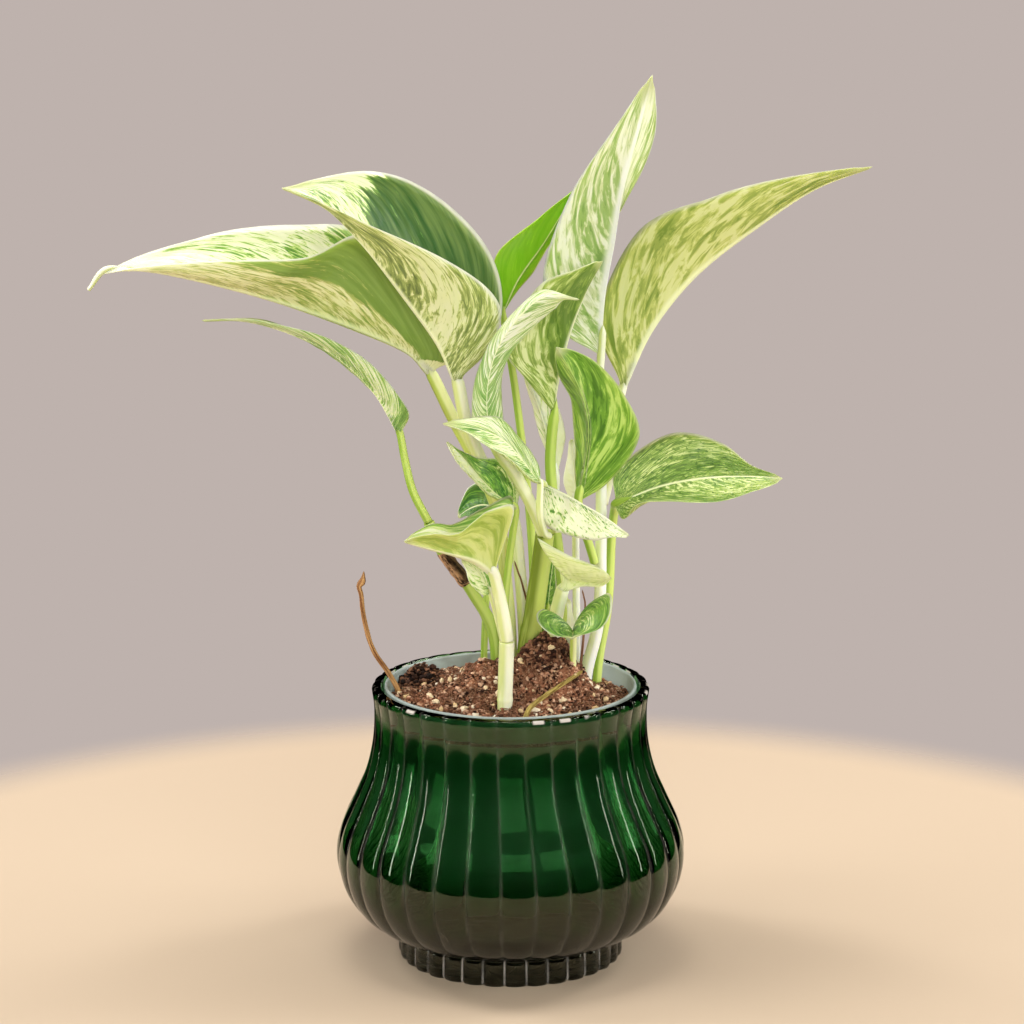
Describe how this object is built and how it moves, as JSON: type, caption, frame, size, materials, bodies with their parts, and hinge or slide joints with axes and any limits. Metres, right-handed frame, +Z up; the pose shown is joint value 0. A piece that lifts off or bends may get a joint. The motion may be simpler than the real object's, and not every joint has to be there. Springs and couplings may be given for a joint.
{
  "type": "potted marble queen pothos",
  "caption": "Marble queen pothos with folded, cream-and-green variegated leaves on slender petioles, in a nursery pot set in a bulging fluted emerald glass cachepot.",
  "frame": {"origin": "middle of the flat underside of the glass foot", "axes": "+Z up, -Y towards the pictured front, +X to its right"},
  "size_m": [0.2119, 0.0974, 0.2455],
  "materials": {
    "emerald_glass": "clear, glossy, dark emerald",
    "grey_plastic": "thin pale grey, slightly satin",
    "potting_mix": "damp brown crumbs of peat and bark with pale perlite",
    "green_stem": "smooth, satin",
    "dry_stem": "dry, matt",
    "variegated_leaf": "satin, marbled cream and green"
  },
  "bodies": {
    "root": {"glass_pot": "emerald_glass", "nursery_pot": "grey_plastic", "soil": "potting_mix", "stem_main": "green_stem", "stem_front": "green_stem", "stem_left": "green_stem", "stem_right": "green_stem", "dried_stalk": "dry_stem", "fallen_twig": "dry_stem", "dried_sheath": "dry_stem", "leaf_far_left": "variegated_leaf", "leaf_upper_left": "variegated_leaf", "leaf_bright_back": "variegated_leaf", "leaf_tallest": "variegated_leaf", "leaf_rolled": "variegated_leaf", "leaf_far_right": "variegated_leaf", "leaf_middle": "variegated_leaf", "leaf_middle_pale": "variegated_leaf", "leaf_centre_right": "variegated_leaf", "leaf_right": "variegated_leaf", "leaf_cream_left": "variegated_leaf", "leaf_cream_right": "variegated_leaf", "leaf_mottled_small": "variegated_leaf", "leaf_round_dark": "variegated_leaf", "leaf_front_left": "variegated_leaf", "leaf_front_left_lower": "variegated_leaf", "leaf_pale_wedge": "variegated_leaf", "leaf_low_saddle": "variegated_leaf", "leaf_thin_left": "variegated_leaf", "leaf_sliver": "variegated_leaf", "leaf_pale_sprout": "variegated_leaf", "leaf_pale_back": "variegated_leaf"}
  },
  "joints": []
}
